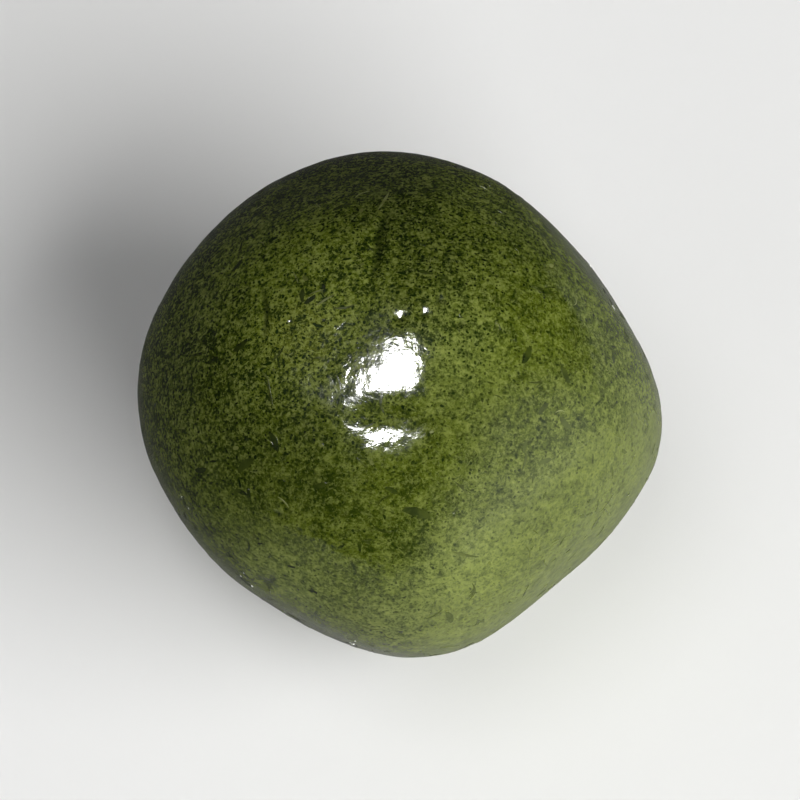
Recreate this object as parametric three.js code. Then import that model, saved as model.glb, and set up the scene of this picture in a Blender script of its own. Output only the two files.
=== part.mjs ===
// A green mochi rice cake: one ball of pounded rice dough with young leaves worked through it.
//
// The dough is rolled between two palms and set down while it is still soft. The ball keeps the
// broad flats where the palms pressed it, with corners left standing between them. It settles
// under its own weight, so it is wider than it is tall and stands on a small flat foot.
//
// Millimetres, +Z up. The origin is on the ground, under the middle of the ball. The broadest
// flat faces the front right, between -Y and +X. Every point of the skin is worked out from the
// direction in which it lies from the ball's middle, so the solid is one closed skin.

import * as THREE from 'three';
import { mergeVertices } from 'three/addons/utils/BufferGeometryUtils.js';

// ---------- driving dimensions ----------

const WIDTH = 48; // along X
const DEPTH = 47.2; // along Y
const HEIGHT = 42; // along Z, from the foot to the crown

// The dough before it is pressed: two half ellipsoids that share their widest ring.
const RING_RADIUS = 25;
const CROWN_ABOVE_RING = 23;
const BASE_BELOW_RING = 22.2;

// The foot cuts the base this far below the ring and turns up softly into the side.
const FOOT_BELOW_RING = 19.4;
const FOOT_TURN = 1.6;

// Flats that the palms pressed. Each one faces out at an azimuth, anticlockwise from +X seen
// from above, and an elevation. A deeper one is wider too, so that its middle is nearly flat.
const PRESSED_FLATS = [
  { azimuth: 315, elevation: 8, pressed: 2.6 }, // front right face
  { azimuth: 308, elevation: -22, pressed: 2.5 }, // foot of the front right face
  { azimuth: 28, elevation: 11, pressed: 3.7 }, // right shoulder
  { azimuth: 62, elevation: 12, pressed: 1.3 }, // back right shoulder
  { azimuth: 236, elevation: -8, pressed: 2.6 }, // front left face
  { azimuth: 204, elevation: -5, pressed: 0.6 }, // left face
  { azimuth: 118, elevation: 36, pressed: 0.4 }, // back left shoulder
  { azimuth: 200, elevation: 74, pressed: 0.5 }, // crown
  { azimuth: 340, elevation: -10, pressed: 0.5 }, // low right face
  { azimuth: 112, elevation: -36, pressed: 1.1 }, // low back face
];
const FLATNESS = 0.9; // 1 makes a middle quite flat, less leaves it a little domed

// Shallow dents from fingertips: where each one lies, how deep it goes and how wide it reaches.
const FINGER_DENTS = [
  { azimuth: 252, elevation: 46, deep: 0.35, reach: 6.5 }, // under the crown, in front
  { azimuth: 217, elevation: 40, deep: 0.22, reach: 5.5 }, // front left brow
  { azimuth: 12, elevation: 46, deep: 0.2, reach: 6.0 }, // right brow
  { azimuth: 98, elevation: 42, deep: 0.25, reach: 6.0 }, // back brow
  { azimuth: 152, elevation: -12, deep: 0.3, reach: 6.0 }, // low on the left
  { azimuth: 60, elevation: -16, deep: 0.25, reach: 6.0 }, // low at the back
];

// Slow swells of uneven dough: waves that cross the ball, each in a direction of its own.
const SWELL_COUNT = 9;
const SWELL_HEIGHT = 0.05; // of each wave, either way
const SWELL_LENGTH = { shortest: 13, longest: 26 };
const SWELL_SEED = 20;

// The skin's net of triangles: an icosahedron with this many new points along each edge.
const NEW_POINTS_PER_EDGE = 19;
const SAME_POINT = 1e-5; // nearer corners are merged, where the net still has a radius of 1

const DOUGH_GREEN = 0x4d5a1f;
const OILED_SKIN_ROUGHNESS = 0.35;

// ---------- helpers ----------

// The unit direction that faces an azimuth and an elevation, both in degrees.
function facing(azimuth, elevation) {
  const around = THREE.MathUtils.degToRad(azimuth);
  const up = THREE.MathUtils.degToRad(elevation);
  return new THREE.Vector3(
    Math.cos(up) * Math.cos(around),
    Math.cos(up) * Math.sin(around),
    Math.sin(up),
  );
}

// The smaller of two lengths, with the corner between them turned over softly. Where they
// differ by more than the turn, the result is exactly the smaller one.
function softMin(a, b, turn) {
  const overlap = Math.max(turn - Math.abs(a - b), 0) / turn;
  return Math.min(a, b) - (overlap * overlap * turn) / 4;
}

// A small seeded generator of numbers from 0 to 1, so that every build is alike.
const DRAW_FACTOR = 48271;
const DRAW_MODULUS = 2147483647;

function seededRandom(seed) {
  let state = seed;
  return () => {
    state = (state * DRAW_FACTOR) % DRAW_MODULUS;
    return state / DRAW_MODULUS;
  };
}

// ---------- the form ----------

// How far the unpressed dough reaches in a direction, along it.
function doughReach(direction) {
  const tall = direction.z > 0 ? CROWN_ABOVE_RING : BASE_BELOW_RING;
  const across = Math.hypot(direction.x, direction.y) / RING_RADIUS;
  return 1 / Math.hypot(across, direction.z / tall);
}

// A hollow that sinks smoothly to its full depth from the skin around it.
function hollow({ centre, deep, spread }, direction) {
  const off = direction.angleTo(centre) / spread;
  return deep * Math.exp(-off * off);
}

// A sphere is flat in the middle of a hollow whose spread, in radians, is the root of twice its
// depth over the radius that is left.
const flats = PRESSED_FLATS.map(({ azimuth, elevation, pressed }) => (
  {
    centre: facing(azimuth, elevation),
    deep: pressed,
    spread: Math.sqrt((2 * pressed) / (RING_RADIUS - pressed)) / FLATNESS,
  }
));

const dents = FINGER_DENTS.map(({ azimuth, elevation, deep, reach }) => (
  { centre: facing(azimuth, elevation), deep, spread: reach / RING_RADIUS }
));

// How far the skin is sunk in a direction by all the flats and dents together.
function pressedDepth(direction) {
  return [...flats, ...dents].reduce((depth, each) => depth + hollow(each, direction), 0);
}

function makeSwells() {
  const random = seededRandom(SWELL_SEED);
  const swells = [];
  for (let i = 0; i < SWELL_COUNT; i += 1) {
    const length = THREE.MathUtils.lerp(SWELL_LENGTH.shortest, SWELL_LENGTH.longest, random());
    swells.push({
      across: facing(360 * random(), THREE.MathUtils.radToDeg(Math.asin(2 * random() - 1))),
      waves: (2 * Math.PI * RING_RADIUS) / length,
      phase: 2 * Math.PI * random(),
    });
  }
  return swells;
}

const swells = makeSwells();

function swellHeight(direction) {
  let height = 0;
  for (const { across, waves, phase } of swells) {
    height += SWELL_HEIGHT * Math.sin(direction.dot(across) * waves + phase);
  }
  return height;
}

// How far the skin reaches in a direction. The foot comes last, so that it is exactly flat.
function skinReach(direction) {
  const rolled = doughReach(direction) - pressedDepth(direction) + swellHeight(direction);
  if (direction.z >= 0) {
    return rolled;
  }
  return softMin(rolled, FOOT_BELOW_RING / -direction.z, FOOT_TURN);
}

// ---------- the solid ----------

function makeSkin() {
  const net = new THREE.IcosahedronGeometry(1, NEW_POINTS_PER_EDGE);
  net.deleteAttribute('normal');
  net.deleteAttribute('uv');
  const skin = mergeVertices(net, SAME_POINT);
  const points = skin.getAttribute('position');
  const point = new THREE.Vector3();
  for (let i = 0; i < points.count; i += 1) {
    point.fromBufferAttribute(points, i).normalize();
    point.multiplyScalar(skinReach(point));
    points.setXYZ(i, point.x, point.y, point.z);
  }
  return skin;
}

// Brings the ball to its named size and stands it on the ground over the origin.
function standOnGround(skin) {
  skin.computeBoundingBox();
  const size = skin.boundingBox.getSize(new THREE.Vector3());
  skin.scale(WIDTH / size.x, DEPTH / size.y, HEIGHT / size.z);
  skin.computeBoundingBox();
  const middle = skin.boundingBox.getCenter(new THREE.Vector3());
  skin.translate(-middle.x, -middle.y, -skin.boundingBox.min.z);
  skin.computeVertexNormals();
  return skin;
}

const dough = new THREE.MeshStandardMaterial({
  color: DOUGH_GREEN,
  roughness: OILED_SKIN_ROUGHNESS,
  metalness: 0,
});

const ball = new THREE.Mesh(standOnGround(makeSkin()), dough);
ball.name = 'mochi_ball';

const group = new THREE.Group();
group.add(ball);

export default group;
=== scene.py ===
# %% [markdown]
# # A green mochi rice cake
#
# Mochi is rice dough, pounded until it is smooth and sticky. This ball is dark green because
# young leaves were pounded into it, and it shines because it was brushed with oil so that it
# wouldn't stick. It was rolled between two palms, and it kept the broad soft flats they pressed.
#
# The solid model of the ball already has the right size, the flats and the flat foot. It is
# loaded first, and the skin, the scraps of leaf and the finish are all fitted to it.

# %% Load the solid ball
import math
import random

import bpy
import numpy as np
from mathutils import Matrix, Vector


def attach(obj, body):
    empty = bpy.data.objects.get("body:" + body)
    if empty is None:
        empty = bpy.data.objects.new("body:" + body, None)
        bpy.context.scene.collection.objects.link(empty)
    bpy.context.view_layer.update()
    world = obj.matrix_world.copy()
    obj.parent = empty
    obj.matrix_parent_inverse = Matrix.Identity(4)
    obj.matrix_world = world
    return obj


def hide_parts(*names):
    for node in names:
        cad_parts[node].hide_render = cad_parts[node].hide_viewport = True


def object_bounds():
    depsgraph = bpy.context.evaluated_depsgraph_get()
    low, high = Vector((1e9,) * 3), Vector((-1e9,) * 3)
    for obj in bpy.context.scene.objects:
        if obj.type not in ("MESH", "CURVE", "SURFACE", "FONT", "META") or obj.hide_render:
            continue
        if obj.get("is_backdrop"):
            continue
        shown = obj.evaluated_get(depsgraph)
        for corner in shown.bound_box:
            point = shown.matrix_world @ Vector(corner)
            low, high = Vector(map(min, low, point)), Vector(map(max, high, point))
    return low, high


MM = 0.001

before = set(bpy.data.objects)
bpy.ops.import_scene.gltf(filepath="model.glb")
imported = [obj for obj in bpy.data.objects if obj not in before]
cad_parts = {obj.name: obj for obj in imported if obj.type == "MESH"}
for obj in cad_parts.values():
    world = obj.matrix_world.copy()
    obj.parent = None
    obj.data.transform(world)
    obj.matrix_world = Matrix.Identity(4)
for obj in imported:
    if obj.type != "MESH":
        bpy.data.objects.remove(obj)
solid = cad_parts["mochi_ball"]
solid_low, solid_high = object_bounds()
middle = (solid_low + solid_high) / 2
ball_size = solid_high - solid_low
print("the solid ball measures", [round(side / MM, 1) for side in ball_size], "mm")

# %% [markdown]
# Operators act on everything that is selected, and the loaded ball is selected now. Each step
# below therefore picks its own piece first. Modifiers are applied as soon as a shape is right,
# so that the next step can select and move the points they made.

# %% Helpers for picking a piece and applying its modifiers


def pick(piece):
    """Selects one piece alone and makes it the active one."""
    bpy.ops.object.select_all(action="DESELECT")
    piece.select_set(True)
    bpy.context.view_layer.objects.active = piece


def apply_modifiers(piece):
    """Turns the piece's modifiers into real geometry, from the top of the stack down."""
    pick(piece)
    for name in [modifier.name for modifier in piece.modifiers]:
        bpy.ops.object.modifier_apply(modifier=name)


def facing(azimuth, elevation):
    """The direction that faces an azimuth, anticlockwise from +X, and an elevation, in degrees."""
    around, up = math.radians(azimuth), math.radians(elevation)
    return Vector((math.cos(up) * math.cos(around), math.cos(up) * math.sin(around), math.sin(up)))


def points_of(piece):
    """The places of all points of a piece, one row each."""
    flat = np.empty(3 * len(piece.data.vertices))
    piece.data.vertices.foreach_get("co", flat)
    return flat.reshape(-1, 3)


# %% [markdown]
# The skin of the ball has to bend evenly everywhere, so it is made of small even squares with no
# pole. A sphere primitive would pinch its squares together at the top, right where the lamp is
# reflected. A cube that is subdivided and rounded off has no such place. Shrinkwrap then lays
# it on the solid ball, flats and foot included.

# %% Lay a net of squares on the solid ball
bpy.ops.object.select_all(action="DESELECT")
bpy.ops.mesh.primitive_cube_add(size=max(ball_size), location=middle)
skin = bpy.context.object
skin.name = "dough_skin"
bpy.ops.object.transform_apply(location=True, rotation=True, scale=True)

halvings = skin.modifiers.new("even squares", "SUBSURF")
halvings.levels = halvings.render_levels = 5
apply_modifiers(skin)

bpy.ops.object.mode_set(mode="EDIT")
bpy.ops.mesh.select_all(action="SELECT")
bpy.ops.transform.tosphere(value=1.0)
bpy.ops.object.mode_set(mode="OBJECT")

wrap = skin.modifiers.new("lie on the solid ball", "SHRINKWRAP")
wrap.target = solid
wrap.wrap_method = "NEAREST_SURFACEPOINT"
apply_modifiers(skin)
print("the net has", len(skin.data.polygons), "squares")

# %% [markdown]
# Fingertips leave shallow dents in soft dough, a few tenths of a millimetre deep, with low
# rises between them. They hardly show in the outline, but the oiled skin mirrors the lamp, and
# each dent bends that reflection. A few just in front of the crown split it in two. A dent
# is one point pushed in with proportional editing, which takes its neighbours along. The rest
# of the dents are spread by a seeded draw, because no hand presses in an even pattern.

# %% Press fingertip dents into the skin
CROWN_DENTS = (
    {"azimuth": 248, "elevation": 67, "deep": 0.15 * MM, "reach": 2.8 * MM},
    {"azimuth": 260, "elevation": 66, "deep": 0.36 * MM, "reach": 3.3 * MM},
    {"azimuth": 272, "elevation": 67, "deep": 0.16 * MM, "reach": 2.8 * MM},
)
DENT_COUNT = 26
DENT_ELEVATIONS = (-35, 50)
DENT_DEPTHS = (-0.09 * MM, 0.14 * MM)
DENT_REACHES = (3.5 * MM, 7.0 * MM)
DENT_SEED = 4


def press_dent(azimuth, elevation, deep, reach):
    """Pushes the skin in at one place. A depth below nothing raises it instead."""
    outward = facing(azimuth, elevation)
    away = np.array(outward) * max(ball_size) + np.array(middle)
    nearest = int(np.argmin(np.linalg.norm(points_of(skin) - away, axis=1)))
    bpy.ops.object.mode_set(mode="EDIT")
    bpy.ops.mesh.select_all(action="DESELECT")
    bpy.ops.object.mode_set(mode="OBJECT")
    skin.data.vertices[nearest].select = True
    bpy.ops.object.mode_set(mode="EDIT")
    bpy.ops.transform.translate(
        value=-outward * deep,
        use_proportional_edit=True,
        proportional_edit_falloff="SMOOTH",
        proportional_size=reach,
    )
    bpy.ops.object.mode_set(mode="OBJECT")


pick(skin)
for dent in CROWN_DENTS:
    press_dent(**dent)
draw = random.Random(DENT_SEED)
for _ in range(DENT_COUNT):
    press_dent(
        azimuth=draw.uniform(0, 360),
        elevation=draw.uniform(*DENT_ELEVATIONS),
        deep=draw.uniform(*DENT_DEPTHS),
        reach=draw.uniform(*DENT_REACHES),
    )
print("pressed", len(CROWN_DENTS) + DENT_COUNT, "dents and rises")

# %% [markdown]
# Two more rounds of subdivision make squares of about a quarter of a millimetre, small enough
# for relief that can be felt. The foot lies flat on the plate, so a vertex group holds the
# relief back there: its weight grows from nothing at the ground to one a little above it.

# %% Refine the skin and mark what stands clear of the ground
FOOT_EDGE = 0.2 * MM
CLEAR_OF_GROUND = 2.0 * MM

finer = skin.modifiers.new("finer squares", "SUBSURF")
finer.levels = finer.render_levels = 2
apply_modifiers(skin)

clear = skin.vertex_groups.new(name="clear of the ground")
heights = points_of(skin)[:, 2]
clearness = np.clip((heights - FOOT_EDGE) / (CLEAR_OF_GROUND - FOOT_EDGE), 0, 1)
clear.add(np.flatnonzero(clearness >= 1).tolist(), 1.0, "REPLACE")
for index in np.flatnonzero((clearness > 0) & (clearness < 1)):
    clear.add([int(index)], float(clearness[index]), "REPLACE")
print("the skin has", len(skin.data.polygons), "squares")

# %% [markdown]
# Pounded dough is never quite smooth. It has slow swells some millimetres across, short ripples
# where it stuck to the palms, and a fine pebbled grain from bits of rice and leaf under the
# surface. Each is a cloud texture of its own size in a Displace modifier. They are very low,
# because a glossy skin shows slopes far more than heights.

# %% Raise swells, ripples and grain
RELIEF = {
    "slow swells": {"size": 6.0 * MM, "height": 0.12 * MM, "depth": 0},
    "palm ripples": {"size": 2.3 * MM, "height": 0.05 * MM, "depth": 0},
    "pebbled grain": {"size": 0.9 * MM, "height": 0.04 * MM, "depth": 0},
}

for name, relief in RELIEF.items():
    clouds = bpy.data.textures.new(name, "CLOUDS")
    clouds.noise_basis = "IMPROVED_PERLIN"
    clouds.noise_scale = relief["size"]
    clouds.noise_depth = relief["depth"]
    raise_skin = skin.modifiers.new(name, "DISPLACE")
    raise_skin.texture = clouds
    raise_skin.texture_coords = "LOCAL"
    raise_skin.strength = relief["height"]
    raise_skin.mid_level = 0.5
    raise_skin.vertex_group = clear.name
apply_modifiers(skin)
for polygon in skin.data.polygons:
    polygon.use_smooth = True
print("raised", ", ".join(RELIEF))

# %% [markdown]
# Where the dough was folded over as it was rolled it keeps short creases, and small air bubbles
# leave pits. Both are narrow, so they are pressed in by weight: a vertex group is strongest
# along the middle of the mark and fades to its edge, and a Displace modifier with no texture
# pushes the group in by an even depth. The clearest crease runs down the back of the crown, and
# four deeper pits lie on the crown, where they break up the lamp's mirror image.

# %% Press creases and bubble pits into the skin
CROWN_CREASE = (facing(95, 58), facing(101, 64), facing(110, 73), facing(127, 78))
CROWN_CREASE_WIDTH = 0.5 * MM
CROWN_CREASE_DEPTH = 0.22 * MM
CREASE_COUNT = 12
CREASE_LENGTHS = (2.0 * MM, 5.5 * MM)
CREASE_WIDTH = 0.34 * MM
CREASE_DEPTH = 0.18 * MM
CREASE_CURL = 50.0  # degrees that a crease may turn along its length
CREASE_SEED = 12
FAINTEST_MARK = 0.02  # a weaker weight than this is left out of a mark's vertex group

CROWN_PITS = (facing(14, 85), facing(355, 76), facing(29, 80), facing(188, 89))
CROWN_PIT_WIDTH = 0.4 * MM
CROWN_PIT_DEPTH = 0.22 * MM
PIT_COUNT = 22
PIT_WIDTHS = (0.25 * MM, 0.45 * MM)
PIT_DEPTH = 0.13 * MM
PIT_SEED = 31


def on_skin(direction):
    """The place on the skin in a direction from the ball's middle, and the way it faces there."""
    _, place, normal, _ = skin.closest_point_on_mesh(middle + direction * max(ball_size) / 2)
    return place.copy(), normal.copy()


def heading_on_skin(draw, normal):
    """A random direction that runs along the skin."""
    heading = normal.orthogonal().normalized()
    heading.rotate(Matrix.Rotation(draw.uniform(0, math.tau), 3, normal))
    return heading


def spot_on_skin(draw, lowest=-0.75, highest=0.98):
    """A random place on the skin, evenly spread over the ball, and the way it faces there."""
    elevation = math.degrees(math.asin(draw.uniform(lowest, highest)))
    return on_skin(facing(draw.uniform(0, 360), elevation))


def random_path(draw, lengths, curl, step):
    """Points along a short curved line that lies on the skin, a step apart."""
    place, normal = spot_on_skin(draw)
    heading = heading_on_skin(draw, normal)
    steps = round(draw.uniform(*lengths) / step)
    turn = math.radians(draw.uniform(-curl, curl)) / steps
    path = [place]
    for _ in range(steps):
        heading.rotate(Matrix.Rotation(turn, 3, normal))
        _, place, normal, _ = skin.closest_point_on_mesh(path[-1] + heading * step)
        path.append(place.copy())
    return path


def path_through(directions, step):
    """Points along a line on the skin that runs through a few directions, a step apart."""
    path = []
    for start, end in zip(directions, directions[1:]):
        steps = max(round((end - start).length * max(ball_size) / 2 / step), 1)
        path += [on_skin(start.lerp(end, count / steps))[0] for count in range(steps + 1)]
    return path


def fading_weights(path, width):
    """How strongly each point of the skin is marked by a path: one on it, fading over its width."""
    weights = np.zeros(len(skin.data.vertices))
    places = points_of(skin)
    for count, spot in enumerate(path):
        off = np.linalg.norm(places - np.array(spot), axis=1)
        ends = math.sin(math.pi * (count + 1) / (len(path) + 1)) ** 0.5
        weights = np.maximum(weights, ends * np.exp(-((off / width) ** 2)))
    return weights


def press_marks(name, weights, depth):
    """Pushes the skin in by a depth where the weights are strong."""
    group = skin.vertex_groups.new(name=name)
    for index in np.flatnonzero(weights > FAINTEST_MARK):
        group.add([int(index)], float(weights[index]), "REPLACE")
    press = skin.modifiers.new(name, "DISPLACE")
    press.strength = -depth
    press.mid_level = 0.0
    press.vertex_group = name
    apply_modifiers(skin)


crown_crease = path_through(CROWN_CREASE, CROWN_CREASE_WIDTH / 2)
crown_creased = fading_weights(crown_crease, CROWN_CREASE_WIDTH)
press_marks("crown crease", crown_creased, CROWN_CREASE_DEPTH)

draw = random.Random(CREASE_SEED)
creases = []
for _ in range(CREASE_COUNT):
    creases.append(random_path(draw, CREASE_LENGTHS, CREASE_CURL, CREASE_WIDTH / 2))
creased = np.maximum.reduce([fading_weights(path, CREASE_WIDTH) for path in creases])
press_marks("creases", creased, CREASE_DEPTH)

crown_pits = [on_skin(direction)[0] for direction in CROWN_PITS]
crown_pitted = np.maximum.reduce([fading_weights([pit], CROWN_PIT_WIDTH) for pit in crown_pits])
press_marks("crown pits", crown_pitted, CROWN_PIT_DEPTH)

draw = random.Random(PIT_SEED)
pits = [spot_on_skin(draw, highest=0.75)[0] for _ in range(PIT_COUNT)]
pitted = np.maximum.reduce([fading_weights([pit], draw.uniform(*PIT_WIDTHS)) for pit in pits])
press_marks("bubble pits", pitted, PIT_DEPTH)
print("pressed", len(creases) + 1, "creases and", len(crown_pits) + len(pits), "pits")

# %% [markdown]
# The creases and pits are painted darker, as painted shade in them. Where they lie is stored on
# the mesh as an attribute, one value for each point, which the material reads later to paint
# that shade. An attribute moves with the skin, so the colour can't slide off the shape.

# %% Store where the creases and pits lie
painted_crease_shade = np.maximum.reduce([crown_creased, creased, crown_pitted, pitted])
attribute = skin.data.attributes.new("creased", "FLOAT", "POINT")
attribute.data.foreach_set("value", painted_crease_shade)
print("marked", int((painted_crease_shade > 0.5).sum()), "points in creases and pits")

# %% [markdown]
# The skin now stands for the solid ball, and moves with it. The scraps that follow lie on it.

# %% Let the skin stand for the solid ball
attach(skin, "root")
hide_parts("mochi_ball")
print("the skin has", sum(len(p.vertices) - 2 for p in skin.data.polygons), "triangles")

# %% [markdown]
# Pounding tears the leaves into scraps under a millimetre and into threads of their veins, and
# leaves some grains of rice whole. The biggest lie in the skin and make a faint relief of their
# own, so they are real pieces. One of each kind is modelled flat, with a small face count,
# because it is repeated many times. A copy with its own mesh goes to each place, and the copies
# are joined into one piece for each kind.

# %% Model one scrap of leaf, one thread and one grain of rice


def torn_patch(name, corners, oblong, ragged, seed):
    """A small flat patch with a ragged edge, one unit long, with a point in its middle."""
    bpy.ops.object.select_all(action="DESELECT")
    bpy.ops.mesh.primitive_circle_add(vertices=corners, radius=0.5, fill_type="NGON")
    patch = bpy.context.object
    patch.name = name
    bpy.ops.object.mode_set(mode="EDIT")
    bpy.ops.mesh.select_all(action="SELECT")
    bpy.ops.mesh.poke()
    bpy.ops.mesh.select_all(action="SELECT")
    bpy.ops.transform.vertex_random(offset=ragged, uniform=1.0, seed=seed)
    bpy.ops.transform.resize(value=(1.0, oblong, 0.0))
    bpy.ops.object.mode_set(mode="OBJECT")
    return patch


def thread_strip(name, slender, bow):
    """A thin bowed strip, one unit long, that narrows to both ends."""
    bpy.ops.object.select_all(action="DESELECT")
    bpy.ops.mesh.primitive_grid_add(x_subdivisions=8, y_subdivisions=1, size=1.0)
    strip = bpy.context.object
    strip.name = name
    bpy.ops.object.mode_set(mode="EDIT")
    bpy.ops.mesh.select_all(action="SELECT")
    bpy.ops.transform.resize(value=(1.0, slender, 1.0))
    bpy.ops.object.mode_set(mode="OBJECT")
    for point in strip.data.vertices:
        along = 2 * point.co.x
        point.co.y *= 1.15 - along * along
        point.co.y += bow * (1 - along * along)
    return strip


leaf_patterns = [
    torn_patch("leaf scrap pattern", corners=9, oblong=0.5, ragged=0.32, seed=3),
    torn_patch("long leaf scrap pattern", corners=8, oblong=0.32, ragged=0.26, seed=8),
    torn_patch("broad leaf scrap pattern", corners=10, oblong=0.75, ragged=0.34, seed=5),
]
thread_patterns = [
    thread_strip("straight thread pattern", slender=0.085, bow=0.03),
    thread_strip("bowed thread pattern", slender=0.08, bow=0.09),
    thread_strip("curled thread pattern", slender=0.09, bow=0.17),
]
rice_patterns = [torn_patch("rice grain pattern", corners=8, oblong=0.62, ragged=0.05, seed=2)]
print("modelled", len(leaf_patterns + thread_patterns + rice_patterns), "patterns")

# %% [markdown]
# Most bits lie anywhere, in any direction. Short ones are commoner than long ones, so the draw is
# squared before it is scaled. A few are laid one by one between two named spots, because they are
# big enough to be seen from afar: some scraps on the front, and pale streaks of rice round the
# crown. Shrinkwrap then drapes the joined sheet over the grain of the skin, and Solidify gives it
# the thickness of a wet leaf, half of it sunk in the dough.

# %% Scatter the scraps, threads, streaks and grains over the skin
LAID_SCRAPS = (
    (facing(329, 50), facing(333, 50)),
    (facing(272, 44), facing(278, 43)),
    (facing(242, 45), facing(244, 47)),
    (facing(219, 36), facing(219, 40)),
)
LAID_STREAKS = (
    (facing(94, 50), facing(100, 57)),
    (facing(168, 69), facing(157, 73)),
    (facing(161, 67), facing(155, 70)),
    (facing(150, 60), facing(155, 63)),
    (facing(136, 50), facing(138, 53)),
    (facing(120, 43), facing(119, 48)),
    (facing(285, 35), facing(289, 37)),
    (facing(296, 40), facing(298, 38)),
)
SCATTER = {
    "leaf_scraps": {
        "patterns": leaf_patterns, "laid": LAID_SCRAPS, "count": 300,
        "lengths": (0.4 * MM, 1.3 * MM), "thick": 0.045 * MM, "seed": 71,
    },
    "leaf_threads": {
        "patterns": thread_patterns, "laid": (), "count": 150,
        "lengths": (0.9 * MM, 2.8 * MM), "thick": 0.045 * MM, "seed": 72,
    },
    "rice_streaks": {
        "patterns": thread_patterns, "laid": LAID_STREAKS, "count": 70,
        "lengths": (0.5 * MM, 1.8 * MM), "thick": 0.04 * MM, "seed": 75,
    },
    "rice_grains": {
        "patterns": rice_patterns, "laid": (), "count": 130,
        "lengths": (0.3 * MM, 0.7 * MM), "thick": 0.05 * MM, "seed": 74,
    },
}


def lay_copy(pattern, place, normal, heading, length):
    """A copy of the pattern, at its size, lying at a place on the skin along a heading."""
    along = (heading - normal * heading.dot(normal)).normalized()
    lie = Matrix((along, normal.cross(along), normal)).transposed().to_4x4()
    mesh = pattern.data.copy()
    mesh.transform(Matrix.Translation(place) @ lie @ Matrix.Scale(length, 4))
    copy = bpy.data.objects.new(pattern.name, mesh)
    bpy.context.scene.collection.objects.link(copy)
    return copy


def lay_between(pattern, start, end):
    """A copy of the pattern that reaches from one direction to another."""
    place, normal = on_skin((start + end).normalized())
    span = on_skin(end)[0] - on_skin(start)[0]
    return lay_copy(pattern, place, normal, span, span.length)


def scatter(name, patterns, laid, count, lengths, thick, seed):
    """One piece made of many copies of a few patterns, draped over the skin."""
    draw = random.Random(seed)
    shortest, longest = lengths
    copies = [lay_between(patterns[0], start, end) for start, end in laid]
    for _ in range(count):
        place, normal = spot_on_skin(draw, lowest=-0.8)
        heading = heading_on_skin(draw, normal)
        length = shortest + (longest - shortest) * draw.random() ** 2
        copies.append(lay_copy(draw.choice(patterns), place, normal, heading, length))
    bpy.ops.object.select_all(action="DESELECT")
    for copy in copies:
        copy.select_set(True)
    bpy.context.view_layer.objects.active = copies[0]
    bpy.ops.object.join()
    piece = bpy.context.object
    piece.name = name
    drape = piece.modifiers.new("drape", "SHRINKWRAP")
    drape.target = skin
    drape.wrap_method = "NEAREST_SURFACEPOINT"
    body = piece.modifiers.new("wet leaf", "SOLIDIFY")
    body.thickness = thick
    body.offset = 0.0
    apply_modifiers(piece)
    bpy.ops.object.mode_set(mode="EDIT")
    bpy.ops.mesh.select_all(action="SELECT")
    bpy.ops.mesh.normals_make_consistent(inside=False)
    bpy.ops.object.mode_set(mode="OBJECT")
    bpy.ops.object.shade_smooth_by_angle(angle=math.radians(50))
    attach(piece, "root")
    return piece


scattered = {name: scatter(name, **how) for name, how in SCATTER.items()}
for pattern in leaf_patterns + thread_patterns + rice_patterns:
    bpy.data.objects.remove(pattern)
for name, piece in scattered.items():
    print(name, "has", sum(len(p.vertices) - 2 for p in piece.data.polygons), "triangles")

# %% [markdown]
# A material is a small network of nodes. These helpers keep the networks readable: one feeds an
# input with a link or a plain value, one adds a node with its options and inputs in a single
# call, one mixes two colours, and one starts a node group, which is an effect that several
# materials share.

# %% Helpers for building materials


def feed(tree, socket, value):
    """Links an input to another socket, or gives it a plain value."""
    if isinstance(value, bpy.types.NodeSocket):
        tree.links.new(value, socket)
    else:
        socket.default_value = value


def add_node(tree, kind, inputs=None, **options):
    """Adds a node. Each input is given a plain value or a socket to link from."""
    node = tree.nodes.new(kind)
    for name, value in options.items():
        setattr(node, name, value)
    for name, value in (inputs or {}).items():
        feed(tree, node.inputs[name], value)
    return node


def mix_colours(tree, amount, first, second, blend="MIX"):
    """The socket of a colour between the first and the second."""
    factor, colour_a, colour_b, result = 0, 6, 7, 2
    mix = add_node(tree, "ShaderNodeMix", data_type="RGBA", blend_type=blend)
    for index, value in ((factor, amount), (colour_a, first), (colour_b, second)):
        feed(tree, mix.inputs[index], value)
    return mix.outputs[result]


def calculate(tree, operation, first, second=0.0):
    """The socket of a sum, a product or another operation on two values."""
    node = add_node(tree, "ShaderNodeMath", {0: first, 1: second}, operation=operation)
    return node.outputs["Value"]


def noise(tree, place, size, detail=2.0, roughness=0.5):
    """A cloudy pattern whose blotches are about this size."""
    scale = calculate(tree, "DIVIDE", 1.0, size)
    inputs = {"Vector": place, "Scale": scale, "Detail": detail, "Roughness": roughness}
    return add_node(tree, "ShaderNodeTexNoise", inputs).outputs["Fac"]


def ramp(tree, value, low, high, to_low=0.0, to_high=1.0):
    """Maps a range of values smoothly to another one, and holds it at the ends."""
    inputs = {0: value, 1: low, 2: high, 3: to_low, 4: to_high}
    node = add_node(tree, "ShaderNodeMapRange", inputs, interpolation_type="SMOOTHSTEP")
    return node.outputs[0]


def new_group(name, inputs, outputs):
    """An empty node group with named sockets, and its inner ends."""
    tree = bpy.data.node_groups.new(name, "ShaderNodeTree")
    for socket_name, kind, value in inputs:
        socket = tree.interface.new_socket(name=socket_name, in_out="INPUT", socket_type=kind)
        if value is not None:
            socket.default_value = value
    for socket_name, kind in outputs:
        tree.interface.new_socket(name=socket_name, in_out="OUTPUT", socket_type=kind)
    return tree, tree.nodes.new("NodeGroupInput"), tree.nodes.new("NodeGroupOutput")


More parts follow.
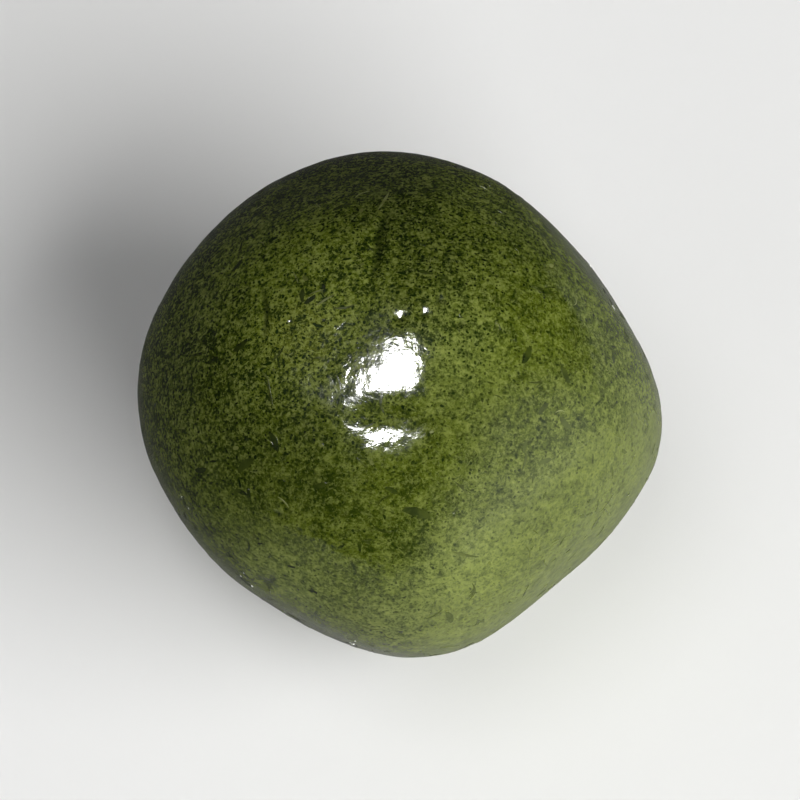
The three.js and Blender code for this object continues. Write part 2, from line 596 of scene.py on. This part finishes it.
def use_group(tree, group, inputs):
    """Places a node group in a material."""
    node = tree.nodes.new("ShaderNodeGroup")
    node.node_tree = group
    for name, value in inputs.items():
        feed(tree, node.inputs[name], value)
    return node


# %% [markdown]
# The oil is a film far thinner than the grain of the dough, so it follows the grain and breaks
# the lamp's mirror image into a speckled spot. It lies thicker in some patches than in others:
# the thick patches are glossy, and the rest is satin. The film runs over the dough, the leaf and
# the rice alike, so it is a node group that all their materials use. It gives the roughness, and
# the finest grain as a height for a Bump node.

# %% The oil film, shared by all the materials
oil_film, film_in, film_out = new_group(
    "Oil film",
    inputs=[
        ("Place", "NodeSocketVector", None),
        ("Patch Size", "NodeSocketFloat", 3.5 * MM),
        ("Grain Size", "NodeSocketFloat", 0.8 * MM),
        ("Satin Roughness", "NodeSocketFloat", 0.15),
        ("Oiled Roughness", "NodeSocketFloat", 0.1),
        ("Dryness", "NodeSocketFloat", 0.0),
    ],
    outputs=[("Roughness", "NodeSocketFloat"), ("Height", "NodeSocketFloat")],
)
film_place = film_in.outputs["Place"]
film_patches = noise(oil_film, film_place, film_in.outputs["Patch Size"], detail=4.0)
satin = ramp(
    oil_film, film_patches, 0.38, 0.6,
    film_in.outputs["Satin Roughness"], film_in.outputs["Oiled Roughness"],
)
FINEST_GRAIN = 0.042 * MM  # how high the Bump nodes raise it
film_grain = noise(oil_film, film_place, film_in.outputs["Grain Size"], detail=3.0, roughness=0.55)
DRY_ROUGHNESS = 0.34
worn = ramp(oil_film, film_in.outputs["Dryness"], 0.0, 1.0, satin, DRY_ROUGHNESS)
oil_film.links.new(worn, film_out.inputs["Roughness"])
oil_film.links.new(film_grain, film_out.inputs["Height"])
print("the oil film gives", [socket.name for socket in film_out.inputs if socket.name])

# %% [markdown]
# The leaves were chopped and pounded before they were kneaded in, so the dough is full of tiny
# flat scraps that lie in every direction, and its skin cuts through them as a knife would. The
# node group below builds them in the same way. A Voronoi texture sets out a cell for each
# scrap, with a random colour. That colour turns a thin disc that sits in the middle of the
# cell, and the mask is white where a point of the skin lies inside the disc. Most discs are cut
# across and show as short streaks, a few lie flat and show whole.

# %% Scraps that the skin cuts through, as a node group
cut_scraps, scraps_in, scraps_out = new_group(
    "Cut scraps",
    inputs=[
        ("Place", "NodeSocketVector", None),
        ("Spacing", "NodeSocketFloat", 1.0 * MM),
        ("Breadth", "NodeSocketFloat", 1.0 * MM),
        ("Thickness", "NodeSocketFloat", 0.15 * MM),
        ("Share", "NodeSocketFloat", 1.0),
    ],
    outputs=[("Mask", "NodeSocketFloat"), ("Tone", "NodeSocketFloat")],
)
scrap_place = scraps_in.outputs["Place"]
cell_scale = calculate(cut_scraps, "DIVIDE", 1.0, scraps_in.outputs["Spacing"])
cells = add_node(cut_scraps, "ShaderNodeTexVoronoi", {"Vector": scrap_place, "Scale": cell_scale})
from_middle = add_node(
    cut_scraps, "ShaderNodeVectorMath", {0: scrap_place, 1: cells.outputs["Position"]},
    operation="SUBTRACT",
)
angles = add_node(
    cut_scraps, "ShaderNodeVectorMath", {0: cells.outputs["Color"], "Scale": math.tau},
    operation="SCALE",
)
turned = add_node(
    cut_scraps, "ShaderNodeVectorRotate",
    {"Vector": from_middle.outputs["Vector"], "Rotation": angles.outputs["Vector"]},
    rotation_type="EULER_XYZ",
)
half_sizes = add_node(
    cut_scraps, "ShaderNodeCombineXYZ",
    {
        "X": calculate(cut_scraps, "MULTIPLY", scraps_in.outputs["Thickness"], 0.5),
        "Y": calculate(cut_scraps, "MULTIPLY", scraps_in.outputs["Breadth"], 0.5),
        "Z": calculate(cut_scraps, "MULTIPLY", scraps_in.outputs["Breadth"], 0.35),
    },
)
in_discs = add_node(
    cut_scraps, "ShaderNodeVectorMath",
    {0: turned.outputs["Vector"], 1: half_sizes.outputs["Vector"]}, operation="DIVIDE",
)
reach = add_node(
    cut_scraps, "ShaderNodeVectorMath", {0: in_discs.outputs["Vector"]}, operation="LENGTH"
)
chance = add_node(cut_scraps, "ShaderNodeSeparateColor", {"Color": cells.outputs["Color"]})
shown = calculate(cut_scraps, "LESS_THAN", chance.outputs["Red"], scraps_in.outputs["Share"])
inside = ramp(cut_scraps, reach.outputs["Value"], 1.05, 0.65)
cut_scraps.links.new(calculate(cut_scraps, "MULTIPLY", inside, shown), scraps_out.inputs["Mask"])
cut_scraps.links.new(chance.outputs["Green"], scraps_out.inputs["Tone"])
print("the cut scraps give", [socket.name for socket in scraps_out.inputs if socket.name])

# %% [markdown]
# Seen close, the green is a mix. A deep olive paste has yellower clouds where there is more rice
# and darker ones where there is more leaf. Some of these patches are broad and lie in known
# places, most are small and fall anywhere. Among the broad ones, deep green at the left and the
# back is painted shade, and pale green at the front right and low at the front is painted light
# and sheen. The paste is speckled, dark with pounded leaf and pale with rice, down to a quarter
# of a millimetre. Through it run scraps of five sizes: a dense fine chop of leaf, dark specks,
# streaks of pale rice, a few coarse dark pieces, and thin pale veins. The place of each scrap is
# bent a little by a noise first, so that straight streaks turn crooked. The front right side is
# painted paler, as painted light and sheen, and its flat face has a clearer edge; there the oil
# film is rougher and the specks and scraps are fainter. The back left side is the grainiest, with
# stronger specks. Four places are lighter as a whole: one high on the left is a lighter tone, and
# three are painted light and sheen. There the finished mix is multiplied, specks and all.

# %% The dough's greens and the sizes of what is in it
# The deepest green, used both for darker tone and for painted shade.
DEEP_GREEN_AND_SHADE = (0.023, 0.036, 0.0022, 1)
SHADED_GREEN = (0.040, 0.056, 0.0034, 1)
OLIVE_GREEN = (0.054, 0.073, 0.0046, 1)
RICE_GREEN = (0.082, 0.107, 0.0090, 1)
BROWN_GREEN = (0.084, 0.087, 0.0110, 1)
LEAF_GREEN = (0.007, 0.015, 0.0012, 1)
PALE_RICE = (0.185, 0.215, 0.0500, 1)
VEIN_GREEN = (0.110, 0.132, 0.0220, 1)
# The pale green of the painted light and sheen on the front right and low at the front.
PAINTED_SHEEN_GREEN = (0.122, 0.148, 0.0340, 1)

# The front right side and its flat face are painted paler, as painted light and sheen.
PAINTED_SHEEN_SIDE = {"azimuth": 318, "elevation": 4, "edge": 10.0 * MM, "whole": 21.0 * MM}
PAINTED_SHEEN_FACE = {"azimuth": 312, "elevation": 2, "edge": 16.0 * MM, "whole": 18.9 * MM}
PAINTED_SHEEN_SIDE_STRENGTH = 0.27
PAINTED_SHEEN_FACE_STRENGTH = 0.44
TONE_SHADE_AND_SHEEN_PATCHES = (
    # Darker green at the front and the front left.
    {"toward": facing(217, 36), "reach": 6.0 * MM, "colour": DEEP_GREEN_AND_SHADE, "strength": 0.6},
    {"toward": facing(243, 45), "reach": 4.5 * MM, "colour": DEEP_GREEN_AND_SHADE, "strength": 0.5},
    {"toward": facing(268, 38), "reach": 7.0 * MM, "colour": DEEP_GREEN_AND_SHADE, "strength": 0.35},
    # Painted shade: deep green at the left, the back and the back right, where shade falls.
    {"toward": facing(190, 44), "reach": 7.0 * MM, "colour": DEEP_GREEN_AND_SHADE, "strength": 0.4},
    {"toward": facing(88, 52), "reach": 7.0 * MM, "colour": DEEP_GREEN_AND_SHADE, "strength": 0.5},
    {"toward": facing(92, 28), "reach": 9.0 * MM, "colour": DEEP_GREEN_AND_SHADE, "strength": 0.5},
    {"toward": facing(48, 42), "reach": 6.0 * MM, "colour": DEEP_GREEN_AND_SHADE, "strength": 0.5},
    # Yellower and browner tone.
    {"toward": facing(10, 58), "reach": 6.0 * MM, "colour": RICE_GREEN, "strength": 0.3},
    {"toward": facing(160, 66), "reach": 10.0 * MM, "colour": RICE_GREEN, "strength": 0.6},
    {"toward": facing(142, 50), "reach": 9.0 * MM, "colour": RICE_GREEN, "strength": 0.6},
    {"toward": facing(185, 66), "reach": 5.5 * MM, "colour": BROWN_GREEN, "strength": 0.35},
    {"toward": facing(340, 57), "reach": 7.0 * MM, "colour": RICE_GREEN, "strength": 0.4},
    # Painted light and sheen: pale green near the crown at the front right, on the front face and
    # low at the front.
    {"toward": facing(312, 64), "reach": 6.0 * MM, "colour": PAINTED_SHEEN_GREEN, "strength": 0.3},
    {"toward": facing(335, 77), "reach": 6.5 * MM, "colour": PAINTED_SHEEN_GREEN, "strength": 0.45},
    {"toward": facing(283, 27), "reach": 7.0 * MM, "colour": PAINTED_SHEEN_GREEN, "strength": 0.5},
    {"toward": facing(240, 16), "reach": 7.0 * MM, "colour": PAINTED_SHEEN_GREEN, "strength": 0.4},
    {"toward": facing(276, 8), "reach": 9.0 * MM, "colour": PAINTED_SHEEN_GREEN, "strength": 0.8},
    {"toward": facing(262, 5), "reach": 8.0 * MM, "colour": PAINTED_SHEEN_GREEN, "strength": 0.5},
    # Painted shade: deep green low at the left and the back left.
    {"toward": facing(172, 14), "reach": 13.0 * MM, "colour": DEEP_GREEN_AND_SHADE, "strength": 0.45},
    {"toward": facing(122, 18), "reach": 12.0 * MM, "colour": DEEP_GREEN_AND_SHADE, "strength": 0.45},
)
TONE_AND_LIGHT_GAIN_PATCHES = (
    # A lighter tone high on the left.
    {"toward": facing(160, 61), "reach": 13.5 * MM, "gain": 1.7},
    # Painted light and sheen: near the crown at the front right, low at the front left and on the
    # front face.
    {"toward": facing(335, 76), "reach": 8.0 * MM, "gain": 1.25},
    {"toward": facing(242, 14), "reach": 7.0 * MM, "gain": 1.3},
    {"toward": facing(286, 27), "reach": 7.0 * MM, "gain": 1.2},
)
SPECKLES = (
    {"size": 1.60 * MM, "leaf": 0.42, "rice": 0.24},
    {"size": 0.70 * MM, "leaf": 0.46, "rice": 0.32},
    {"size": 0.32 * MM, "leaf": 0.62, "rice": 0.42},
)
DARK_LUMPS = (0.48, 0.36)  # the range of the noise where leaf fades in
PALE_LUMPS = (0.52, 0.64)  # and where rice does
# The specks and scraps show fainter under the painted light and sheen.
SPECKLES_UNDER_PAINTED_SHEEN = 0.65
GRAINY_SIDE = {"azimuth": 135, "elevation": 45, "edge": 4.0 * MM, "whole": 18.0 * MM}
GRAINY_SIDE_GAIN = 0.8
# How dark the creases and pits are painted, as painted shade.
PAINTED_SHADE_IN_CREASES = 0.7

SCRAP_SIZES = ("Spacing", "Breadth", "Thickness", "Share")
SCRAP_LAYERS = {
    "fine leaf": (LEAF_GREEN, 0.80, (0.38 * MM, 0.42 * MM, 0.20 * MM, 0.6)),
    "dark specks": (LEAF_GREEN, 0.90, (0.85 * MM, 0.50 * MM, 0.30 * MM, 0.45)),
    "rice streaks": (PALE_RICE, 0.35, (0.80 * MM, 0.90 * MM, 0.12 * MM, 0.5)),
    "veins": (VEIN_GREEN, 0.45, (2.20 * MM, 2.50 * MM, 0.09 * MM, 0.4)),
    "coarse leaf": (LEAF_GREEN, 0.85, (2.40 * MM, 1.50 * MM, 0.28 * MM, 0.35)),
}
print("the dough has", len(SCRAP_LAYERS), "layers of scraps")
print("and", len(TONE_SHADE_AND_SHEEN_PATCHES) + len(TONE_AND_LIGHT_GAIN_PATCHES), "broad patches")

# %% [markdown]
# These helpers each make one of the patterns the dough is mixed from. A patch or a face is found
# by where a point of the skin lies, so it stays in its place from every side.

# %% Helpers for the patterns in the dough


def speckled(tree, green, place, shown, size, leaf, rice):
    """The green with soft specks of about this size, dark ones of leaf and pale ones of rice."""
    lumps = noise(tree, place, size, detail=3.0, roughness=0.75)
    dark = calculate(tree, "MULTIPLY", ramp(tree, lumps, *DARK_LUMPS, 0.0, leaf), shown)
    pale = calculate(tree, "MULTIPLY", ramp(tree, lumps, *PALE_LUMPS, 0.0, rice), shown)
    return mix_colours(tree, pale, mix_colours(tree, dark, green, LEAF_GREEN), PALE_RICE)


def bent_place(tree, place, size, amount):
    """The place, shifted a little here and there, so that straight streaks turn crooked."""
    inputs = {"Vector": place, "Scale": 1 / size, "Detail": 1.0}
    shift = add_node(tree, "ShaderNodeTexNoise", inputs)
    centred = add_node(
        tree, "ShaderNodeVectorMath", {0: shift.outputs["Color"], 1: (0.5, 0.5, 0.5)},
        operation="SUBTRACT",
    )
    scaled = add_node(
        tree, "ShaderNodeVectorMath", {0: centred.outputs["Vector"], "Scale": amount},
        operation="SCALE",
    )
    moved = add_node(tree, "ShaderNodeVectorMath", {0: place, 1: scaled.outputs["Vector"]})
    return moved.outputs["Vector"]


def face_mask(tree, place, azimuth, elevation, edge, whole):
    """A soft mask of the side of the ball that faces a direction, in metres from its middle."""
    from_middle = add_node(
        tree, "ShaderNodeVectorMath", {0: place, 1: tuple(middle)}, operation="SUBTRACT"
    )
    along = add_node(
        tree, "ShaderNodeVectorMath",
        {0: from_middle.outputs["Vector"], 1: tuple(facing(azimuth, elevation))},
        operation="DOT_PRODUCT",
    )
    return ramp(tree, along.outputs["Value"], edge, whole)


def patch_mask(tree, place, toward, reach):
    """A soft mask round one place on the skin."""
    spot = tuple(on_skin(toward)[0])
    away = add_node(tree, "ShaderNodeVectorMath", {0: place, 1: spot}, operation="DISTANCE")
    return ramp(tree, away.outputs["Value"], reach, 0.2 * reach)


def new_material(name):
    """A material with a Principled shader, and the place of each point on the object."""
    material = bpy.data.materials.new(name)
    material.use_nodes = True
    tree = material.node_tree
    shader = tree.nodes["Principled BSDF"]
    place = tree.nodes.new("ShaderNodeTexCoord").outputs["Object"]
    return material, tree, shader, place


def oil_the_shader(tree, shader, place, grain_height, **film):
    """Lays the oil film over a shader: its roughness and the finest grain."""
    oiled = use_group(tree, oil_film, {"Place": place, **film})
    tree.links.new(oiled.outputs["Roughness"], shader.inputs["Roughness"])
    bump = add_node(
        tree, "ShaderNodeBump",
        {"Height": oiled.outputs["Height"], "Distance": grain_height, "Strength": 1.0},
    )
    tree.links.new(bump.outputs["Normal"], shader.inputs["Normal"])
    shader.inputs["IOR"].default_value = 1.47


# %% [markdown]
# The paste comes first: slow changes of tone, clouds that are broken up finer and finer, the
# broad patches of tone, painted shade and painted sheen, and the painted light and sheen of the
# front right side. The specks and the scraps go over it layer by layer, then the lighter places
# are brightened, three of them as painted light, and the creases and pits, painted darker as
# painted shade, come last. The places that find the patches are bent by slow noises, so that no
# patch has an even edge.
# A little light goes into the dough and comes out again close by, which subsurface adds.

# %% Mix the dough
dough, tree, shader, place = new_material("oiled green dough")
bent = bent_place(tree, place, 0.55 * MM, 0.2 * MM)
wandering = bent_place(tree, place, 3.2 * MM, 3.5 * MM)
straying = bent_place(tree, wandering, 8.0 * MM, 6.0 * MM)
slow_tone = ramp(tree, noise(tree, place, 9 * MM, detail=3.0), 0.34, 0.64)
clouds_of_rice = noise(tree, place, 3.2 * MM, detail=8.0, roughness=0.85)
cloudy_tone = ramp(tree, clouds_of_rice, 0.44, 0.59, 0.0, 0.85)
# The front right side and its face are painted paler, as painted light and sheen; the same mask
# makes the oil film rougher.
sheen_side_mask = calculate(tree, "MULTIPLY", face_mask(tree, place, **PAINTED_SHEEN_SIDE), PAINTED_SHEEN_SIDE_STRENGTH)
sheen_face_mask = calculate(tree, "MULTIPLY", face_mask(tree, straying, **PAINTED_SHEEN_FACE), PAINTED_SHEEN_FACE_STRENGTH)
painted_sheen_and_dryness = calculate(tree, "ADD", sheen_side_mask, sheen_face_mask)

green = mix_colours(tree, slow_tone, SHADED_GREEN, OLIVE_GREEN)
green = mix_colours(tree, cloudy_tone, green, RICE_GREEN)
# Broad patches: tone, painted shade, and painted light and sheen.
for patch in TONE_SHADE_AND_SHEEN_PATCHES:
    mask = patch_mask(tree, wandering, patch["toward"], patch["reach"])
    mask = calculate(tree, "MULTIPLY", mask, patch["strength"])
    green = mix_colours(tree, mask, green, patch["colour"])
# The painted light and sheen of the front right side.
green = mix_colours(tree, painted_sheen_and_dryness, green, PAINTED_SHEEN_GREEN)
grainy = ramp(tree, face_mask(tree, place, **GRAINY_SIDE), 0.0, 1.0, 1.0, 1.0 + GRAINY_SIDE_GAIN)
# The specks and scraps are fainter under the painted light and sheen.
shown = ramp(tree, painted_sheen_and_dryness, 0.0, 1.0, grainy, SPECKLES_UNDER_PAINTED_SHEEN)
for speckle in SPECKLES:
    green = speckled(tree, green, bent, shown, **speckle)
for name, (colour, strength, sizes) in SCRAP_LAYERS.items():
    scraps = use_group(tree, cut_scraps, {"Place": bent, **dict(zip(SCRAP_SIZES, sizes))})
    scraps.label = name
    toned = ramp(tree, scraps.outputs["Tone"], 0.0, 1.0, 0.5 * strength, strength)
    mask = calculate(tree, "MULTIPLY", scraps.outputs["Mask"], toned)
    mask = calculate(tree, "MULTIPLY", mask, shown)
    green = mix_colours(tree, mask, green, colour)
# Lighter places; three of them are painted light and sheen.
for patch in TONE_AND_LIGHT_GAIN_PATCHES:
    mask = patch_mask(tree, wandering, patch["toward"], patch["reach"])
    green = mix_colours(tree, mask, green, (patch["gain"],) * 3 + (1,), blend="MULTIPLY")
# Painted shade in the creases and pits.
creased = add_node(tree, "ShaderNodeAttribute", attribute_name="creased").outputs["Fac"]
green = mix_colours(tree, ramp(tree, creased, 0.1, 1.0, 0.0, PAINTED_SHADE_IN_CREASES), green, LEAF_GREEN)
tree.links.new(green, shader.inputs["Base Color"])
oil_the_shader(tree, shader, place, grain_height=FINEST_GRAIN, Dryness=painted_sheen_and_dryness)

shader.inputs["Subsurface Weight"].default_value = 0.3
shader.inputs["Subsurface Scale"].default_value = 0.5 * MM
shader.inputs["Subsurface Radius"].default_value = (1.0, 1.0, 0.25)
skin.data.materials.append(dough)
print("the dough's material has", len(tree.nodes), "nodes")

# %% [markdown]
# The scraps and threads of leaf are darker green than the dough, a little uneven, under the same
# film of oil. The grains and streaks of rice have taken up some of the green. All of them are kept
# close to the dough in tone, because they are wet and partly covered by it. On the front right
# side they are painted paler, with the same painted light and sheen as the dough. The film is
# thinner on them and less glossy, since a mirror-like edge would sparkle where no edge shows on
# the real ball.

# %% The leaf and the rice in the skin
BIT_GREENS = {
    "leaf_scraps": ((0.012, 0.020, 0.0020, 1), (0.034, 0.048, 0.0045, 1)),
    "leaf_threads": ((0.018, 0.027, 0.0024, 1), (0.070, 0.086, 0.0120, 1)),
    "rice_streaks": ((0.100, 0.118, 0.0240, 1), (0.190, 0.212, 0.0700, 1)),
    "rice_grains": ((0.075, 0.095, 0.0130, 1), (0.140, 0.160, 0.0400, 1)),
}
# How far the bits are painted toward the pale green of the painted light and sheen on the front
# right.
PAINTED_SHEEN_ON_BITS = 0.4
BIT_FILM = {"Satin Roughness": 0.22, "Oiled Roughness": 0.18}


def bit_material(name, darker, lighter):
    """An oiled material for the bits in the skin, between two greens."""
    material, tree, shader, place = new_material(name)
    tone = ramp(tree, noise(tree, place, 1.2 * MM, detail=3.0, roughness=0.6), 0.35, 0.65)
    # Painted light and sheen: on the front right side the bits are painted paler.
    sheen_on_bit = calculate(tree, "MULTIPLY", face_mask(tree, place, **PAINTED_SHEEN_SIDE), PAINTED_SHEEN_ON_BITS)
    green = mix_colours(tree, sheen_on_bit, mix_colours(tree, tone, darker, lighter), PAINTED_SHEEN_GREEN)
    tree.links.new(green, shader.inputs["Base Color"])
    oil_the_shader(tree, shader, place, grain_height=FINEST_GRAIN, **BIT_FILM)
    return material


for name, greens in BIT_GREENS.items():
    scattered[name].data.materials.clear()
    scattered[name].data.materials.append(bit_material("oiled " + name.replace("_", " "), *greens))
print("gave", len(scattered), "kinds of bits their greens")

# %% [markdown]
# The ball stands on a pale matt table in a plain room. The dark skin mirrors both, and bright
# surroundings would turn its rims grey. A Light Path node tells which ray is asking, so the
# table and the room can be pale to the camera and dim in the mirror of the skin. They stay
# brighter at the front right, which lays a soft sheen over that side.

# %% Set the table and the room
TABLE_SIZE = 1.0
TABLE_PALE = (0.86, 0.86, 0.85, 1)
TABLE_MIRRORED = {"side": facing(-45, 0), "dark": -30 * MM, "bright": 50 * MM}
DARKEST_MIRRORED = 0.015
BRIGHTEST_MIRRORED = 0.42
DIM_ROOM_LIGHT = 0.014
BRIGHT_WALL = facing(-35, 0)
BRIGHT_WALL_LIGHT = 0.9
BRIGHT_WALL_EDGE = 0.45  # the cosine of how far off its middle the wall's light begins
ROOM_PALE = 0.9

bpy.ops.object.select_all(action="DESELECT")
bpy.ops.mesh.primitive_plane_add(size=TABLE_SIZE)
table = bpy.context.object
table.name = "table_top"
table_paint, tree, shader, place = new_material("pale table")
to_side = add_node(
    tree, "ShaderNodeVectorMath", {0: place, 1: tuple(TABLE_MIRRORED["side"])},
    operation="DOT_PRODUCT",
).outputs["Value"]
in_mirror = ramp(
    tree, to_side, TABLE_MIRRORED["dark"], TABLE_MIRRORED["bright"],
    DARKEST_MIRRORED, BRIGHTEST_MIRRORED,
)
mirrored = tree.nodes.new("ShaderNodeLightPath").outputs["Is Glossy Ray"]
paint = mix_colours(tree, mirrored, TABLE_PALE, in_mirror)
tree.links.new(paint, shader.inputs["Base Color"])
shader.inputs["Roughness"].default_value = 0.7
shader.inputs["Specular IOR Level"].default_value = 0.2
table.data.materials.append(table_paint)
table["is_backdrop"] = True

room = bpy.data.worlds.new("plain room")
room.use_nodes = True
bpy.context.scene.world = room
tree = room.node_tree
looking = tree.nodes.new("ShaderNodeTexCoord").outputs["Generated"]
to_bright = add_node(
    tree, "ShaderNodeVectorMath", {0: looking, 1: tuple(BRIGHT_WALL)}, operation="DOT_PRODUCT"
).outputs["Value"]
bright_wall = ramp(tree, to_bright, BRIGHT_WALL_EDGE, 1.0, 0.0, BRIGHT_WALL_LIGHT)
on_the_ball = calculate(tree, "ADD", bright_wall, DIM_ROOM_LIGHT)
to_camera = tree.nodes.new("ShaderNodeLightPath").outputs["Is Camera Ray"]
light = ramp(tree, to_camera, 0.0, 1.0, on_the_ball, ROOM_PALE)
tree.links.new(light, tree.nodes["Background"].inputs["Strength"])
tree.nodes["Background"].inputs["Color"].default_value = (1, 1, 1, 1)
print("the room's light runs from", DIM_ROOM_LIGHT, "to", BRIGHT_WALL_LIGHT, "at one wall")

# %% [markdown]
# One round lamp hangs nearly overhead, a little to the left. Its mirror image is the bright
# broken spot near the crown. The main light is a large soft panel at the front right, and a
# weaker one stands low on the left. The panels are kept out of reflections, because their mirror
# images would wash out the dark skin.

# %% Hang the lamp and the soft panels


def area_light(name, toward, distance, size, brightness, shape="DISK", mirrored=True, lights=True):
    """An area light in a direction from the ball's middle, aimed at it, of a given brightness."""
    bpy.ops.object.light_add(type="AREA", location=middle + toward.normalized() * distance)
    lamp = bpy.context.object
    lamp.name = name
    lamp.data.shape = shape
    lamp.data.size = size
    area = size * size * (math.pi / 4 if shape == "DISK" else 1)
    lamp.data.energy = brightness * math.pi * area
    lamp.rotation_mode = "QUATERNION"
    lamp.rotation_quaternion = toward.to_track_quat("Z", "Y")
    lamp.visible_glossy = mirrored
    lamp.visible_diffuse = lights
    lamp.visible_camera = False
    return lamp


LAMP_SIDE = Vector((-0.22, -0.04, 0.975))
lamps = [
    area_light("lamp", LAMP_SIDE, 1.2, 0.46, brightness=110, lights=False),
    area_light("lamp light", LAMP_SIDE, 1.2, 0.6, brightness=3.8, mirrored=False),
    area_light("front panel", Vector((0.74, -0.54, 0.42)), 1.4, 1.8, 4.6, "SQUARE", mirrored=False),
    area_light("left panel", Vector((-0.8, -0.5, 0.4)), 1.4, 1.6, 0.4, "SQUARE", mirrored=False),
]
print("hung", [lamp.name for lamp in lamps])

# %% [markdown]
# The camera looks steeply down on the front of the ball, from less than half a metre away. A
# long lens fills the picture with the ball and keeps the same shape that the eye sees from
# there. The Standard view transform shows the greens as they are.

# %% Place the camera
CAMERA_ELEVATION = 70
CAMERA_DISTANCE = 0.43
BALL_SHARE_OF_PICTURE = 0.66

back = facing(-90, CAMERA_ELEVATION)
bpy.ops.object.camera_add(location=middle + back * CAMERA_DISTANCE)
camera = bpy.context.object
camera.rotation_mode = "QUATERNION"
camera.rotation_quaternion = back.to_track_quat("Z", "Y")
picture_width = ball_size.x / BALL_SHARE_OF_PICTURE
camera.data.lens = camera.data.sensor_width * CAMERA_DISTANCE / picture_width
camera.data.clip_start = 0.01
bpy.context.scene.camera = camera
bpy.context.scene.view_settings.view_transform = "Standard"
print("the lens is", round(camera.data.lens), "mm long")

# %% [markdown]
# Last, the sizes of the solid ball and of the finished one are set side by side, and the most
# that the finished ball stands proud of the solid is printed. The relief and the scraps may stand
# proud of the solid only by a hair.

# %% Compare the sizes and finish
shown_low, shown_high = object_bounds()
sizes = {
    "solid": [list(solid_low), list(solid_high)],
    "shown": [list(shown_low), list(shown_high)],
}
proud = max(max(solid_low - shown_low), max(shown_high - solid_high))
print("the finished ball stands", round(proud / MM, 2), "mm proud of the solid at most")
